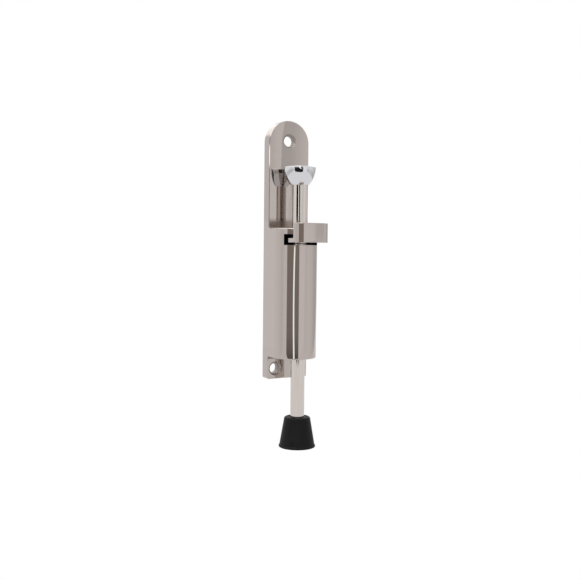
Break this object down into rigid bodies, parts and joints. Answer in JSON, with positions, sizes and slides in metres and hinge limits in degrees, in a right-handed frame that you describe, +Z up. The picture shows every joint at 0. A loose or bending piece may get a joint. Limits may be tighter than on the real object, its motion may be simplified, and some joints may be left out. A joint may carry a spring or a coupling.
{
  "type": "floor door holder",
  "caption": "Foot-operated door holder: a sprung plunger with a rubber foot and tread cap in a cast housing, held down by a canting release lever.",
  "frame": {"origin": "centre of the flat back face of the plate that is screwed to the door", "axes": "+Z up along the plate and the plunger, +Y out of the back face into the door, +X to the right seen from the front"},
  "size_m": [0.032, 0.0472, 0.2336],
  "materials": {
    "nickel_satin": "satin nickel plate over a zinc casting, finely brushed across",
    "nickel_bright": "bright nickel plate with faint lengthwise marks",
    "chrome": "polished chrome plate",
    "rubber_black": "matt moulded rubber",
    "nylon_black": "moulded nylon",
    "steel": "zinc-plated steel",
    "spring_steel": "drawn spring wire"
  },
  "bodies": {
    "base": {"barrel_body": "nickel_satin", "upper_plate": "nickel_satin", "lower_plate": "nickel_satin", "guide_bush": "nylon_black", "lower_bush": "nylon_black", "bush_circlip": "steel", "spring_seat_washer": "steel", "return_spring": "spring_steel", "lever_spring": "spring_steel"},
    "carriage": {"thrust_washer": "steel"},
    "plunger": {"plunger_rod": "nickel_bright", "rod_clip": "steel", "foot_cap": "chrome", "rubber_foot": "rubber_black", "foot_washer": "steel", "foot_screw": "steel"},
    "lever": {"release_lever": "nickel_satin", "grip_ring": "steel"}
  },
  "joints": [
    {"name": "plunger_slide", "type": "slide", "parent": "base", "child": "carriage", "axis": [0, 0, -1], "range_m": [0, 0.03], "stiffness_N_per_m": 500, "springref_m": -0.015, "deforming": ["return_spring"]},
    {"name": "plunger_spin", "type": "hinge", "parent": "carriage", "child": "plunger", "pos_m": [0, -0.0245, 0], "axis": [0, 0, 1], "continuous": true},
    {"name": "lever_tilt", "type": "hinge", "parent": "base", "child": "lever", "pos_m": [0, -0.012, 0.00695], "axis": [1, 0, 0], "range_deg": [0, 4], "stiffness_Nm_per_rad": 0.3, "springref_deg": -8.59, "deforming": ["lever_spring"]}
  ]
}
